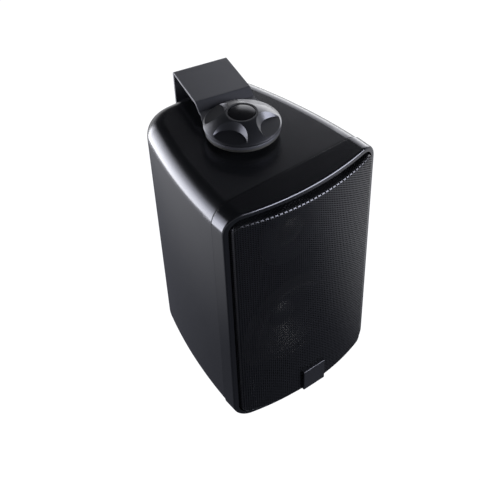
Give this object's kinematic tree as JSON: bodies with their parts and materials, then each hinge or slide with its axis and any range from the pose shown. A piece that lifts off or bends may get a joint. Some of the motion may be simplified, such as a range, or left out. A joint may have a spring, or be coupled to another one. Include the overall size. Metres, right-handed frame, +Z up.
{
  "type": "loudspeaker",
  "caption": "Compact wall loudspeaker: black moulded cabinet with a bowed perforated steel grille, swivelling in a folded steel bracket that is clamped by scooped hand knobs.",
  "frame": {"origin": "centre of the bracket's rear face, where it lies on the wall", "axes": "+Y into the wall, -Y out of the wall towards the listener, +Z up along the swivel axis"},
  "size_m": [0.1583, 0.1847, 0.2838],
  "materials": {
    "cabinet_plastic": "satin moulded ABS with a fine grain",
    "frame_plastic": "satin moulded ABS",
    "bracket_steel": "black powder coat",
    "grille_steel": "black paint on perforated sheet",
    "knob_plastic": "finely textured black moulding",
    "cap_plastic": "gloss black",
    "badge_plastic": "satin black, bare",
    "washer_rubber": "matt black",
    "zinc_steel": "bright zinc plate",
    "black_steel": "black oxide",
    "insert_brass": "turned",
    "seal_foam": "closed-cell foam",
    "basket_paint": "black paint on pressed steel",
    "cone_plastic": "moulded polypropylene",
    "cap_dust": "moulded polypropylene",
    "surround_rubber": "butyl rubber",
    "spider_cloth": "resin-treated cloth",
    "coil_copper": "enamelled copper wire",
    "magnet_ferrite": "sintered ferrite",
    "dome_silk": "coated silk",
    "face_plastic": "matt moulded ABS",
    "board_laminate": "green laminate",
    "capacitor_film": "shrunk sleeve",
    "resistor_ceramic": "white cement body",
    "terminal_plastic": "satin moulded ABS",
    "lever_red": "moulded red",
    "lever_black": "moulded black",
    "contact_bronze": "spring bronze",
    "wadding_fibre": "polyester fibre"
  },
  "bodies": {
    "bracket": {"wall_bracket": "bracket_steel"},
    "cone": {"woofer_cone": "cone_plastic", "dust_cap": "cap_dust", "voice_coil": "coil_copper"},
    "red_lever": {"red_lever": "lever_red"},
    "black_lever": {"black_lever": "lever_black"},
    "upper_washer": {"upper_thrust_washer": "zinc_steel"},
    "upper_knob": {"upper_knob": "knob_plastic", "upper_knob_cap": "cap_plastic", "upper_stud": "zinc_steel"},
    "lower_washer": {"lower_thrust_washer": "zinc_steel"},
    "lower_knob": {"lower_knob": "knob_plastic", "lower_knob_cap": "cap_plastic", "lower_stud": "zinc_steel"},
    "cabinet": {"cabinet_shell": "cabinet_plastic", "front_frame": "frame_plastic", "frame_seal": "seal_foam", "grille": "grille_steel", "badge": "badge_plastic", "frame_screws": "black_steel", "woofer_basket": "basket_paint", "woofer_surround": "surround_rubber", "woofer_spider": "spider_cloth", "woofer_top_plate": "zinc_steel", "woofer_magnet": "magnet_ferrite", "woofer_yoke": "zinc_steel", "woofer_screws": "black_steel", "tweeter_face_plate": "face_plastic", "tweeter_dome": "dome_silk", "tweeter_top_plate": "zinc_steel", "tweeter_magnet": "magnet_ferrite", "tweeter_yoke": "zinc_steel", "tweeter_screws": "black_steel", "crossover_board": "board_laminate", "crossover_coil": "coil_copper", "crossover_capacitor": "capacitor_film", "crossover_resistor": "resistor_ceramic", "terminal_cup": "terminal_plastic", "terminal_screws": "black_steel", "terminal_contacts": "contact_bronze", "damping_wadding": "wadding_fibre", "upper_insert": "insert_brass", "upper_friction_washer": "washer_rubber", "lower_insert": "insert_brass", "lower_friction_washer": "washer_rubber"}
  },
  "joints": [
    {"name": "swivel", "type": "hinge", "parent": "bracket", "child": "cabinet", "pos_m": [0, -0.09, 0], "axis": [0, 0, 1], "range_deg": [-92.8, 67.2]},
    {"name": "cone_travel", "type": "slide", "parent": "cabinet", "child": "cone", "axis": [0.2215, -0.9751, 0], "range_m": [-0.003, 0.003], "stiffness_N_per_m": 1000, "deforming": ["woofer_surround", "woofer_spider"]},
    {"name": "upper_knob_lift", "type": "slide", "parent": "cabinet", "child": "upper_washer", "axis": [0, 0, 1], "range_m": [0, 0.0025]},
    {"name": "upper_knob_turn", "type": "hinge", "parent": "upper_washer", "child": "upper_knob", "pos_m": [0, -0.09, 0], "axis": [0, 0, 1], "range_deg": [0, 720]},
    {"name": "lower_knob_lift", "type": "slide", "parent": "cabinet", "child": "lower_washer", "axis": [0, 0, -1], "range_m": [0, 0.0025]},
    {"name": "lower_knob_turn", "type": "hinge", "parent": "lower_washer", "child": "lower_knob", "pos_m": [0, -0.09, 0], "axis": [0, 0, -1], "range_deg": [0, 720]},
    {"name": "red_lever_press", "type": "hinge", "parent": "cabinet", "child": "red_lever", "pos_m": [-0.00751, -0.0152, -0.049], "axis": [-0.9751, -0.2215, 0], "range_deg": [0, 18], "stiffness_Nm_per_rad": 0.05, "springref_deg": -8.59},
    {"name": "black_lever_press", "type": "hinge", "parent": "cabinet", "child": "black_lever", "pos_m": [-0.02555, -0.0193, -0.049], "axis": [-0.9751, -0.2215, 0], "range_deg": [0, 18], "stiffness_Nm_per_rad": 0.05, "springref_deg": -8.59}
  ],
  "couplings": [
    {"joint": "upper_knob_lift", "follows": "upper_knob_turn", "m_per_rad": 0.00019893},
    {"joint": "lower_knob_lift", "follows": "lower_knob_turn", "m_per_rad": 0.00019893}
  ]
}
